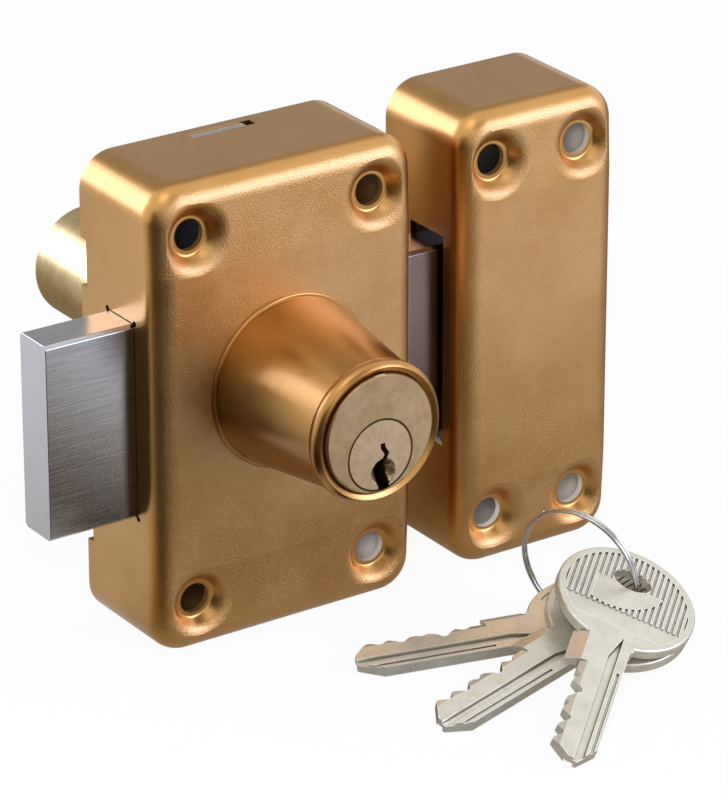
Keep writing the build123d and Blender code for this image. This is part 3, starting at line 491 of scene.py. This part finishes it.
def weldedPiece(node, name, material, slot, edge):
    # the CAD node's own form with its triangles joined, so that its roundings shade smoothly
    source = nodes[node]
    work = bmesh.new()
    work.from_mesh(source.data)
    bmesh.ops.remove_doubles(work, verts=work.verts, dist=welded["join"] * mm)
    flat = math.radians(welded["flat"])
    bmesh.ops.dissolve_limit(work, angle_limit=flat, verts=work.verts, edges=work.edges)
    mesh = bpy.data.meshes.new(name)
    work.to_mesh(mesh)
    work.free()
    smoothBelow(mesh, welded["sharp"])

    def addModifiers(holder):
        if edge:
            bevel = holder.modifiers.new("edge", "BEVEL")
            bevel.width, bevel.segments = edge * mm, welded["bevelSegments"]
            bevel.limit_method, bevel.angle_limit = "ANGLE", math.radians(welded["sharp"])
            bevel.use_clamp_overlap = True
            bevel.harden_normals = False
        holder.modifiers.new("weighted", "WEIGHTED_NORMAL").keep_sharp = True

    finished = settledMesh(name, mesh, addModifiers)
    if node in shellMiddles:
        markInside(finished, shellMiddles[node] * mm)
    paint(finished, material)
    return addPiece(name, finished, source["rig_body"], node)


weldedPieces = (  # node, piece, finish, slot and the width of its bevelled edges
    ("case_cover", "caseShell", shellLacquer, "bronze_lacquer", 0.0),
    ("keeper_cover", "keeperShell", shellLacquer, "bronze_lacquer", 0.0),
    ("bolt", "throughBolt", boltSteel, "bolt_steel", 0.12),
    ("inner_barrel", "innerBarrelBody", metal["innerBrass"], "face_brass", 0.0),
    ("inner_plug", "innerPlugBody", metal["plugBrass"], "face_brass", 0.0),
    ("outer_barrel", "outerBarrelBody", metal["outerBrass"], "face_brass", 0.0),
    ("outer_plug", "outerPlugBody", metal["outerPlugBrass"], "face_brass", 0.0),
    ("key_front", "keyFront", keyNickel, "key_nickel", 0.1),
    ("key_middle", "keyMiddle", keyNickel, "key_nickel", 0.1),
    ("key_back", "keyBack", keyNickel, "key_nickel", 0.1),
)
for row in weldedPieces:
    weldedPiece(*row)
print("welded pieces:", len(weldedPieces))

plainFinishes = {  # nodes that keep their own meshes
    "plateSteel": ("case_backplate", "keeper_backplate"),
    "chassisSteel": ("bearing_bridge", "bolt_guide_upper", "bolt_guide_lower", "tailbar"),
    "pinionSteel": ("drive_pinion",),
    "springSteel": ("inner_plug_clip", "outer_plug_clip", "bolt_leaf_spring"),
    "screwSteel": ("boss_screws", "bridge_screws", "outer_barrel_screws", "guide_rivets"),
    "pinBrass": ("inner_key_pins", "outer_key_pins", "inner_driver_pins", "outer_driver_pins", "pinion_bush"),
    "outerBrass": ("outer_spring_cover",),
    "innerBrass": ("inner_spring_cover",),
}
for finish, members in plainFinishes.items():
    for member in members:
        paint(nodes[member].data, metal[finish])
print("plain nodes painted:", sum(len(members) for members in plainFinishes.values()))


def newTree(name, inputs):
    tree = bpy.data.node_groups.new(name, "GeometryNodeTree")
    sockets = {}
    for label, kind in {"Outline": "Geometry", **inputs}.items():
        socket = tree.interface.new_socket(label, in_out="INPUT", socket_type="NodeSocket" + kind)
        sockets[label] = socket.identifier
    tree.interface.new_socket("Geometry", in_out="OUTPUT", socket_type="NodeSocketGeometry")
    net = Net(tree)
    entry = net.add("NodeGroupInput").socket.node
    given = {label: Val(net, entry.outputs[label]) for label in sockets}
    return net, given, sockets


def closeTree(net, geometry, material):
    whole = net.add("GeometryNodeRealizeInstances", values={0: geometry})
    painted = net.add("GeometryNodeSetMaterial", values={"Geometry": whole, "Material": material})
    net.add("NodeGroupOutput", values={0: painted})


def grownPiece(name, tree, values, body, replaced, outline=(), sharp=40.0):
    # outline is an open line of points, for a tree that works on one
    net, sockets = tree
    mesh = bpy.data.meshes.new(name)
    links = [(i, i + 1) for i in range(len(outline) - 1)]
    mesh.from_pydata([Vector(point) * mm for point in outline], links, [])

    def addModifiers(holder):
        modifier = holder.modifiers.new("grown", "NODES")
        modifier.node_group = net.tree
        for label, value in values.items():
            modifier[sockets[label]] = value

    grown = settledMesh(name, mesh, addModifiers)
    smoothBelow(grown, sharp)
    return addPiece(name, grown, body, replaced)


# split ring: two turns of wire side by side, joined by a short slanting step
splitRing = {
    "centre": (44.6, -58.4), "heading": -69.7, "lean": -9.4, "radius": 12.7, "wire": 0.35, "offset": 0.36,
    "cadOffset": 0.33, "cadWire": 0.38, "turns": 1.965, "step": 0.06, "stepAngle": 2.2,
    "points": 260, "wireSides": 16,
}


def ringFrame():  # where the ring stands on the floor, and how it is turned
    heading = Matrix.Rotation(math.radians(splitRing["heading"]), 3, "Z")
    lean = Matrix.Rotation(math.radians(-splitRing["lean"]), 3, "X")
    normal = heading @ (lean @ Vector((0, -1, 0)))
    side = heading @ Vector((1, 0, 0))
    up = normal.cross(side)
    low = splitRing["radius"] * up.z + splitRing["cadOffset"] * abs(normal.z) + splitRing["cadWire"]
    middle = Vector((*splitRing["centre"], floorLevel / mm + low))
    return middle * mm, Matrix((side, up, normal)).transposed()


def splitRingTree():
    net, given, sockets = newTree("splitRing", {
        "Radius": "Float", "Wire": "Float", "Wire Sides": "Int", "Offset": "Float", "Turns": "Float",
        "Step": "Float", "Start": "Float", "Points": "Int", "Place": "Vector", "Turn": "Rotation"})
    line = net.add("GeometryNodeCurvePrimitiveLine")
    line = net.add("GeometryNodeResampleCurve", {"mode": "COUNT"}, {"Curve": line, "Count": given["Points"]})
    share = net.add("GeometryNodeSplineParameter")
    angle = share * given["Turns"] * fullTurn + given["Start"]
    across = net.ease(share, 0.5 - given["Step"], 0.5 + given["Step"], 0 - given["Offset"], given["Offset"])
    x, y = net.maths("COSINE", angle) * given["Radius"], net.maths("SINE", angle) * given["Radius"]
    coil = net.add("GeometryNodeSetPosition", values={"Geometry": line, "Position": net.join(x, y, across)})
    wire = net.add("GeometryNodeCurvePrimitiveCircle", values={
        "Resolution": given["Wire Sides"], "Radius": given["Wire"]})
    tube = net.add("GeometryNodeCurveToMesh", values={
        "Curve": coil, "Profile Curve": wire, "Fill Caps": True})
    placed = net.add("GeometryNodeTransform", values={
        "Geometry": tube, "Translation": given["Place"], "Rotation": given["Turn"]})
    closeTree(net, placed, metal["ringSteel"])
    return net, sockets


ringMiddle, ringTurn = ringFrame()
grownPiece("splitKeyRing", splitRingTree(), {
    "Radius": splitRing["radius"] * mm, "Wire": splitRing["wire"] * mm, "Wire Sides": splitRing["wireSides"],
    "Offset": splitRing["offset"] * mm, "Turns": splitRing["turns"], "Step": splitRing["step"],
    "Start": splitRing["stepAngle"], "Points": splitRing["points"], "Place": ringMiddle,
    "Turn": ringTurn.to_euler(),
}, "key_ring", "key_ring")
print("key ring grown")


# boss round the inner cylinder, turned from its outline, with three screw lugs inside
boss = {
    "axis": (0.0, 4.2), "face": -26.2, "front": -56.0, "foot": 17.5, "flange": 0.8, "coneFoot": 16.8,
    "wall": 1.5, "neck": 13.3, "lip": 13.95, "lipLength": 3.4, "lipCrown": 1.53, "lipRound": 0.12,
    "land": 0.5, "bore": 12.0, "sides": 180, "flangeSteps": 5, "coneSteps": 12, "lipSteps": 16,
    "join": 0.0005, "sharp": 32.0,
    "lugs": 3, "lugCircle": 13.9, "lugRadius": 1.85, "lugBore": 1.2, "lugLength": 7.0, "lugSides": 32,
}


def wrapped(angle):  # the same angle between minus and plus half a turn
    return (angle + math.pi) % fullTurn - math.pi


def arcPoints(first, through, last, count):  # circle through three points, without its first point
    a, b, c = (Vector(point) for point in (first, through, last))
    ab, ac = b - a, c - a
    twice = 2 * (ab.x * ac.y - ab.y * ac.x)
    middle = a + Vector((ac.y * ab.length_squared - ab.y * ac.length_squared,
                         ab.x * ac.length_squared - ac.x * ab.length_squared)) / twice
    start, halfway, end = (math.atan2(*(point - middle).yx) for point in (a, b, c))
    turn = wrapped(end - start)
    if abs(wrapped(halfway - start - turn / 2)) > quarterTurn:  # the short way round misses the middle point
        turn -= math.copysign(fullTurn, turn)
    radius = (a - middle).length
    angles = [start + turn * i / count for i in range(1, count + 1)]
    return [tuple(middle + radius * Vector((math.cos(angle), math.sin(angle)))) for angle in angles]


def bossOutline():  # radius and y, from the foot round the outside and back through the bore
    lipBack = boss["front"] + boss["lipLength"]
    flangeFront = boss["face"] - boss["flange"]
    innerFoot = (boss["coneFoot"] - boss["wall"], boss["face"])
    soft = boss["flange"] / 2
    corner = Vector((boss["foot"] - soft, flangeFront + soft))
    points = [innerFoot, (boss["foot"], boss["face"]), (boss["foot"], flangeFront + soft)]
    for step in range(1, boss["flangeSteps"] + 1):
        angle = quarterTurn * step / boss["flangeSteps"]
        points.append(tuple(corner + soft * Vector((math.cos(angle), -math.sin(angle)))))
    points.append((boss["coneFoot"], flangeFront))
    coneTop = (boss["neck"], lipBack)
    for step in range(1, boss["coneSteps"] + 1):
        share = step / boss["coneSteps"]
        points.append((boss["coneFoot"] + (coneTop[0] - boss["coneFoot"]) * share,
                       flangeFront + (coneTop[1] - flangeFront) * share))
    lipCrown = (boss["lip"], boss["front"] + boss["lipCrown"])
    lipFront = ((boss["bore"] + boss["lip"]) / 2, boss["front"])
    points += arcPoints(coneTop, lipCrown, lipFront, boss["lipSteps"])
    landFront = boss["front"] + boss["land"]
    return points + [
        (boss["bore"] + boss["lipRound"], landFront - boss["lipRound"]), (boss["bore"], landFront),
        (boss["bore"], lipBack), innerFoot]


def bossTree():
    net, given, sockets = newTree("bossLathe", {
        "Sides": "Int", "Join": "Float", "Axis Place": "Vector", "Face": "Float", "Lugs": "Int",
        "Lug Circle": "Float", "Lug Radius": "Float", "Lug Bore": "Float", "Lug Length": "Float",
        "Lug Sides": "Int"})
    # turning: every point of the outline (radius, y) is carried round the Y axis
    outlineSpot = net.add("GeometryNodeInputPosition")
    count = net.add("GeometryNodeAttributeDomainSize", {"component": "MESH"}, {"Geometry": given["Outline"]})
    grid = net.add("GeometryNodeMeshGrid", values={
        "Size X": 1.0, "Size Y": 1.0, "Vertices X": given["Sides"] + 1, "Vertices Y": count})
    index = net.add("GeometryNodeInputIndex")
    column = net.maths("FLOOR", (index + 0.5) / count)
    row = index - column * count
    spot = net.add("GeometryNodeSampleIndex", {"data_type": "FLOAT_VECTOR", "domain": "POINT"}, {
        "Geometry": given["Outline"], "Value": outlineSpot, "Index": row})
    radius, depth, _ = net.split(spot)
    angle = column / given["Sides"] * fullTurn
    carried = net.join(radius * net.maths("COSINE", angle), depth, radius * net.maths("SINE", angle))
    turned = net.add("GeometryNodeSetPosition", values={"Geometry": grid, "Position": carried})
    closed = net.add("GeometryNodeMergeByDistance", values={"Geometry": turned, "Distance": given["Join"]})
    # lugs: tubes on a circle, the first one straight up, open towards the case
    ring = net.add("GeometryNodeCurvePrimitiveCircle", values={
        "Resolution": given["Lugs"], "Radius": given["Lug Circle"]})
    spots = net.add("GeometryNodeTransform", values={
        "Geometry": ring, "Rotation": (quarterTurn, -quarterTurn, 0),
        "Translation": net.join(0, given["Face"], 0)})
    wall = net.add("GeometryNodeCurvePrimitiveCircle", values={
        "Resolution": given["Lug Sides"], "Radius": (given["Lug Radius"] + given["Lug Bore"]) * 0.5})
    section = net.add("GeometryNodeCurvePrimitiveQuadrilateral", values={
        "Width": given["Lug Radius"] - given["Lug Bore"], "Height": given["Lug Length"]})
    tube = net.add("GeometryNodeCurveToMesh", values={"Curve": wall, "Profile Curve": section})
    forwards = net.join(0, given["Lug Length"] * -0.5, 0)
    tube = net.add("GeometryNodeTransform", values={
        "Geometry": tube, "Rotation": (quarterTurn, 0, 0), "Translation": forwards})
    lugs = net.add("GeometryNodeInstanceOnPoints", values={"Points": spots, "Instance": tube})
    whole = net.add("GeometryNodeJoinGeometry")
    for part in (lugs, closed):
        net.put(whole.socket.node.inputs[0], part)
    placed = net.add("GeometryNodeTransform", values={"Geometry": whole, "Translation": given["Axis Place"]})
    closeTree(net, placed, bossLacquer)
    return net, sockets


grownPiece("bossShell", bossTree(), {
    "Sides": boss["sides"], "Join": boss["join"] * mm,
    "Axis Place": Vector((boss["axis"][0], 0, boss["axis"][1])) * mm, "Face": boss["face"] * mm,
    "Lugs": boss["lugs"], "Lug Circle": boss["lugCircle"] * mm, "Lug Radius": boss["lugRadius"] * mm,
    "Lug Bore": boss["lugBore"] * mm, "Lug Length": boss["lugLength"] * mm, "Lug Sides": boss["lugSides"],
}, "lock", "boss_cover", [(r, y, 0) for r, y in bossOutline()], boss["sharp"])
print("boss turned")


# coil springs on the driver pins, one tree for both barrels
pinSpring = {"coils": 6.0, "wire": 0.19, "radius": 1.16, "count": 5, "turnSides": 24, "wireSides": 8}


def pinSpringTree():
    net, given, sockets = newTree("pinSprings", {
        "Start": "Vector", "Pitch": "Float", "Count": "Int", "Length": "Float", "Coils": "Float",
        "Radius": "Float", "Wire": "Float", "Turn Sides": "Int", "Wire Sides": "Int"})
    spiral = net.add("GeometryNodeCurveSpiral", values={
        "Resolution": given["Turn Sides"], "Rotations": given["Coils"], "Start Radius": given["Radius"],
        "End Radius": given["Radius"], "Height": given["Length"] - given["Wire"] * 2})
    wire = net.add("GeometryNodeCurvePrimitiveCircle", values={
        "Resolution": given["Wire Sides"], "Radius": given["Wire"]})
    coil = net.add("GeometryNodeCurveToMesh", values={
        "Curve": spiral, "Profile Curve": wire, "Fill Caps": True})
    coil = net.add("GeometryNodeTransform", values={
        "Geometry": coil, "Translation": net.join(0, 0, given["Wire"])})
    row = net.add("GeometryNodeMeshLine", {"mode": "OFFSET"}, {
        "Count": given["Count"], "Start Location": given["Start"], "Offset": net.join(0, given["Pitch"], 0)})
    springs = net.add("GeometryNodeInstanceOnPoints", values={"Points": row, "Instance": coil})
    closeTree(net, springs, metal["springSteel"])
    return net, sockets


springTree = pinSpringTree()
for node, name in (("inner_pin_springs", "innerCoilSprings"), ("outer_pin_springs", "outerCoilSprings")):
    low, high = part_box(node)
    half = (high.x - low.x) / 2
    pitch = (high.y - low.y - 2 * half) / (pinSpring["count"] - 1)
    grownPiece(name, springTree, {
        "Start": Vector((0, low.y + half, low.z)), "Pitch": pitch, "Count": pinSpring["count"],
        "Length": high.z - low.z, "Coils": pinSpring["coils"], "Radius": pinSpring["radius"] * mm,
        "Wire": pinSpring["wire"] * mm, "Turn Sides": pinSpring["turnSides"],
        "Wire Sides": pinSpring["wireSides"],
    }, "lock", node)
print("pin springs grown")


studioCamera = {
    "place": (-0.46431, -0.73430, 0.37363), "target": (0.01595, -0.030, -0.00319),
    "lens": 221.79, "sensor": 36.0, "shift": (-0.0097, 0.0042), "clip": (0.05, 30.0),
}
cameraData = bpy.data.cameras.new("studioCamera")
cameraData.lens = studioCamera["lens"]
cameraData.sensor_width = studioCamera["sensor"]
cameraData.shift_x, cameraData.shift_y = studioCamera["shift"]
cameraData.clip_start, cameraData.clip_end = studioCamera["clip"]
camera = bpy.data.objects.new("studioCamera", cameraData)
camera.location = studioCamera["place"]
gaze = Vector(studioCamera["target"]) - Vector(studioCamera["place"])
camera.rotation_euler = gaze.to_track_quat("-Z", "Y").to_euler()
bpy.context.scene.collection.objects.link(camera)
bpy.context.scene.camera = camera
print("camera placed")

softWhite = (0.86, 1.0, 1.6)
plainWhite = (1.0, 1.0, 1.0)
lamps = {
    "frontSoftbox": {
        "from": (0.72, -0.86, 0.53), "distance": 1.3, "size": (0.9, 0.58), "level": 3.1, "tint": softWhite},
    "backLeftSoftbox": {
        "from": (-0.55, 0.74, 0.35), "distance": 1.2, "size": (0.7, 0.8), "level": 1.95, "tint": softWhite},
    "topFill": {
        "from": (-0.3, -0.2, 1.0), "distance": 1.5, "size": (0.6, 0.6), "level": 1.0, "tint": plainWhite},
    "cameraSideFill": {  # lights the insides of the holes without a highlight of its own
        "from": (-0.50, -0.745, 0.435), "distance": 1.2, "size": (0.3, 0.3), "level": 30.0,
        "tint": plainWhite, "glossy": False},
}


def studioLamp(name, look):
    data = bpy.data.lights.new(name, "AREA")
    data.shape = "RECTANGLE"
    data.size, data.size_y = look["size"]
    data.energy = look["level"] * 4 * data.size * data.size_y  # an area lamp's level is its power / 4 / area
    data.color = look["tint"]
    lamp = bpy.data.objects.new(name, data)
    lamp.location = Vector(look["from"]).normalized() * look["distance"]
    lamp.rotation_euler = (-lamp.location).to_track_quat("-Z", "Y").to_euler()
    lamp.visible_camera = False
    lamp.visible_glossy = look.get("glossy", True)
    bpy.context.scene.collection.objects.link(lamp)


for name, look in lamps.items():
    studioLamp(name, look)


squareCorners = ((-1, -1), (1, -1), (1, 1), (-1, 1))


def flatMesh(name, corners, material):
    mesh = bpy.data.meshes.new(name)
    mesh.from_pydata(corners, [], [(0, 1, 2, 3)])
    mesh.materials.append(material)
    obj = bpy.data.objects.new(name, mesh)
    bpy.context.scene.collection.objects.link(obj)
    return obj


cards = {  # dark cards that only reflections see
    "darkCeiling": {
        "centre": (0.55, 0.8, 0.72), "across": (1.55, 0, 0), "up": (0, -0.6, 0.95), "level": 0.42},
    "darkLeftCard": {
        "centre": (-0.75, -0.5, 0.2), "across": (0.45, -0.66, 0), "up": (0, 0, 0.55), "level": 0.06},
    "darkFrontCard": {
        "centre": (0.08, -0.62, 0.8), "across": (0.5, 0, 0), "up": (0, 0.4, 0.3), "level": 0.25},
}


def studioCard(name, look):
    material = bpy.data.materials.new(name)
    net = netOf(material)
    net.close("Material Output", net.add("ShaderNodeEmission", values={"Color": grey(look["level"])}))
    centre, across, up = Vector(look["centre"]), Vector(look["across"]) / 2, Vector(look["up"]) / 2
    corners = [centre + across * x + up * y for x, y in squareCorners]
    card = flatMesh(name, corners, material)
    for ray in ("camera", "diffuse", "shadow", "transmission", "volume_scatter"):
        setattr(card, "visible_" + ray, False)


for name, look in cards.items():
    studioCard(name, look)
print("lamps and cards placed:", len(lamps) + len(cards))


# the floor is white to the camera and matt to the lamps; to the metal it glows with a painted reflection,
# dark in front on the left, pale to the right and behind, and warmer where darker
pale = {
    "floor": 0.82, "whiteShare": 0.93, "reach": 4.0,
    "frontEdge": (-0.15, -0.055), "front": 1.4, "nearCase": 0.17, "farEdge": (-0.205, -0.182), "far": 0.3,
    "leftEdge": (-0.03, 0.095), "left": 0.07,
    "underEdge": (-0.055, -0.042), "under": 0.34, "underLeftEdge": (-0.055, -0.02),
    "boltRight": (-0.009, -0.022), "boltLeft": (-0.045, -0.034), "boltFront": (-0.1, -0.08),
    "boltBack": (-0.03, -0.05), "boltLight": 0.5,
    "backEdge": (-0.045, 0.01), "backRise": (0.0, 0.15), "backNear": 0.62, "backFar": 0.9,
    "besideSlope": 0.68, "besideEdge": (-0.018, 0.02), "beside": 0.33,
    "warm": colour(1.0, 0.78, 0.5), "cool": colour(0.95, 1.0, 1.1), "tintEdge": (0.1, 0.8),
}


def floorLevels(net):  # painted reflection: how bright each spot of the floor looks in the metal
    x, y, _ = net.split(net.add("ShaderNodeTexCoord", output="Object"))
    front = net.ease(y, *pale["frontEdge"], pale["front"], pale["nearCase"])
    front = front * net.ease(y, *pale["farEdge"], pale["far"], 1.0)
    front = front * net.ease(x, *pale["leftEdge"], pale["left"], 1.0)
    underCase = net.ease(y, *pale["underEdge"], 0.0, pale["under"]) * net.ease(x, *pale["underLeftEdge"])
    underBolt = net.ease(x, *pale["boltRight"]) * net.ease(x, *pale["boltLeft"])
    underBolt = underBolt * net.ease(y, *pale["boltFront"]) * net.ease(y, *pale["boltBack"])
    front = front + underCase + underBolt * pale["boltLight"]
    back = net.ease(y, *pale["backRise"], pale["backNear"], pale["backFar"])
    back = back * net.ease(x + y * pale["besideSlope"], *pale["besideEdge"], 1.0, pale["beside"])
    behind = net.ease(y, *pale["backEdge"])
    return front * (1 - behind) + back * behind


floorMaterial = bpy.data.materials.new("paleFloor")
floorNet = netOf(floorMaterial)
floorMatt = floorNet.add("ShaderNodeBsdfDiffuse", values={"Color": grey(pale["floor"])})
floorWhite = floorNet.add("ShaderNodeEmission", values={"Color": grey(1)})
floorLight = floorLevels(floorNet)
floorTint = floorNet.mix(floorNet.ease(floorLight, *pale["tintEdge"]), pale["warm"], pale["cool"])
floorSeen = floorNet.add("ShaderNodeEmission", values={"Color": floorTint, "Strength": floorLight})
floorMix = floorNet.mixShaders(floorNet.seenBy("Camera") * pale["whiteShare"], floorMatt, floorWhite)
floorNet.close("Material Output", floorNet.mixShaders(floorNet.seenBy("Glossy"), floorMix, floorSeen))
floorCorners = [(x * pale["reach"], y * pale["reach"], floorLevel) for x, y in squareCorners]
flatMesh("floorSheet", floorCorners, floorMaterial)

surround = {"ambient": 0.5, "white": 1.0}
world = bpy.data.worlds.new("paleStudio")
bpy.context.scene.world = world
worldNet = netOf(world)
ambient, white = (worldNet.add("ShaderNodeBackground", values={"Color": grey(1), "Strength": surround[level]})
                  for level in ("ambient", "white"))
looking = worldNet.seenBy("Camera") + worldNet.seenBy("Glossy") + worldNet.seenBy("Transmission")
worldNet.close("World Output", worldNet.mixShaders(worldNet.maths("MINIMUM", looking, 1.0), ambient, white))
bpy.context.scene.view_settings.view_transform = "Standard"
print("floor and surround painted")
